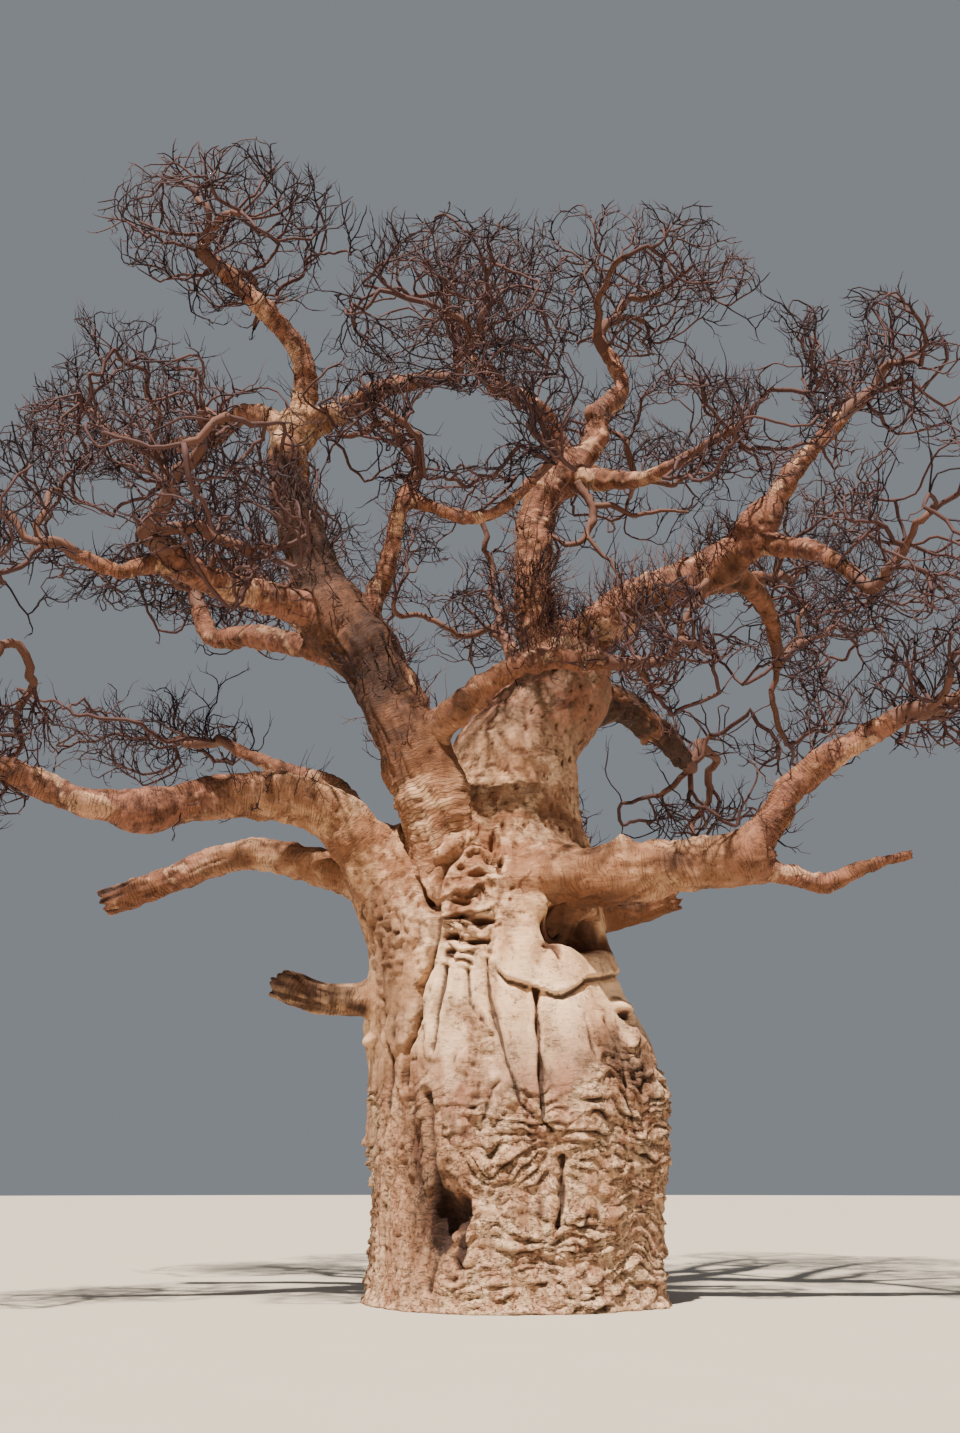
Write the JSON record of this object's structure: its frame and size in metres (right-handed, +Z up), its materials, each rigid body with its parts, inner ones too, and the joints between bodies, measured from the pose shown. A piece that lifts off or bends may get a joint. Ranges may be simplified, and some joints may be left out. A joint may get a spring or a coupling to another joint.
{
  "type": "baobab tree",
  "caption": "Leafless baobab with a huge folded trunk, stout crooked boughs, broken lower limbs and a wide crown of bare twigs, rooted on level ground.",
  "frame": {"origin": "on the ground, at the middle of the flat cut under the trunk", "axes": "+Z straight up, -Y towards the picture's camera, +X to the right in the picture"},
  "size_m": [17.6432, 12.9529, 18.7959],
  "materials": {
    "trunk_bark": "matt, folded and wrinkled bark",
    "bough_bark": "matt, ringed and knotted bark",
    "twig_bark": "matt, dark bare twigs"
  },
  "bodies": {
    "root": {"trunk": "trunk_bark", "left_leader": "bough_bark", "left_upright": "bough_bark", "top_left_bough": "bough_bark", "top_middle_bough": "bough_bark", "high_left_arm": "bough_bark", "middle_left_arm": "bough_bark", "far_left_arm": "bough_bark", "low_left_crook": "bough_bark", "slim_upright": "bough_bark", "slim_arm": "bough_bark", "crossing_arm": "bough_bark", "centre_bough": "bough_bark", "centre_crown": "bough_bark", "centre_left_arm": "bough_bark", "centre_right_arm": "bough_bark", "right_bough": "bough_bark", "right_high_arm": "bough_bark", "right_far_arm": "bough_bark", "right_hanging_arm": "bough_bark", "back_right_bough": "bough_bark", "low_right_inner": "bough_bark", "low_right_outer": "bough_bark", "low_right_broken": "bough_bark", "low_right_stub": "bough_bark", "low_left_inner": "bough_bark", "low_left_outer": "bough_bark", "low_left_broken": "bough_bark", "low_left_riser": "bough_bark", "left_stub": "bough_bark", "back_left_bough": "bough_bark", "back_bough": "bough_bark", "back_high_bough": "bough_bark", "right_back_arm": "bough_bark", "back_low_bough": "bough_bark", "top_left_twigs": "twig_bark", "top_middle_twigs": "twig_bark", "high_left_twigs": "twig_bark", "middle_left_twigs": "twig_bark", "far_left_twigs": "twig_bark", "low_left_twigs": "twig_bark", "slim_upright_twigs": "twig_bark", "slim_arm_twigs": "twig_bark", "crossing_arm_twigs": "twig_bark", "centre_crown_twigs": "twig_bark", "centre_left_twigs": "twig_bark", "centre_right_twigs": "twig_bark", "right_high_twigs": "twig_bark", "right_far_twigs": "twig_bark", "right_hanging_twigs": "twig_bark", "back_right_twigs": "twig_bark", "low_right_twigs": "twig_bark", "outer_left_twigs": "twig_bark", "low_riser_twigs": "twig_bark", "back_left_twigs": "twig_bark", "back_twigs": "twig_bark", "back_high_twigs": "twig_bark", "right_back_twigs": "twig_bark", "back_low_twigs": "twig_bark"}
  },
  "joints": []
}
